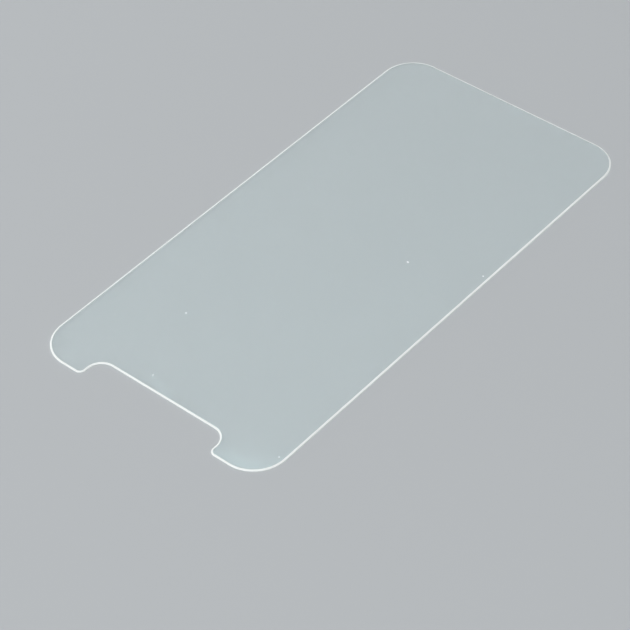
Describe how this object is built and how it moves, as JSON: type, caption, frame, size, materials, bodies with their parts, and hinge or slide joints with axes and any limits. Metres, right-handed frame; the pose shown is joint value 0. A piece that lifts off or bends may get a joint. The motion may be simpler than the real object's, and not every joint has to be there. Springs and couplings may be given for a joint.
{
  "type": "phone screen protector",
  "caption": "Flat clear glass sheet with round corners, a notch in its top end and a ground rim; lies on a phone's display and guards it from scratches.",
  "frame": {"origin": "middle of the underside, the face that lies on the phone's display", "axes": "+X to the phone's right, +Y to the phone's top, where the notch is, +Z out of the screen"},
  "size_m": [0.068, 0.1368, 0.0003],
  "materials": {
    "clear_glass": "polished, clear, with a faint blue-green cast and a ground and polished rim"
  },
  "bodies": {
    "root": {"glass_sheet": "clear_glass"}
  },
  "joints": []
}
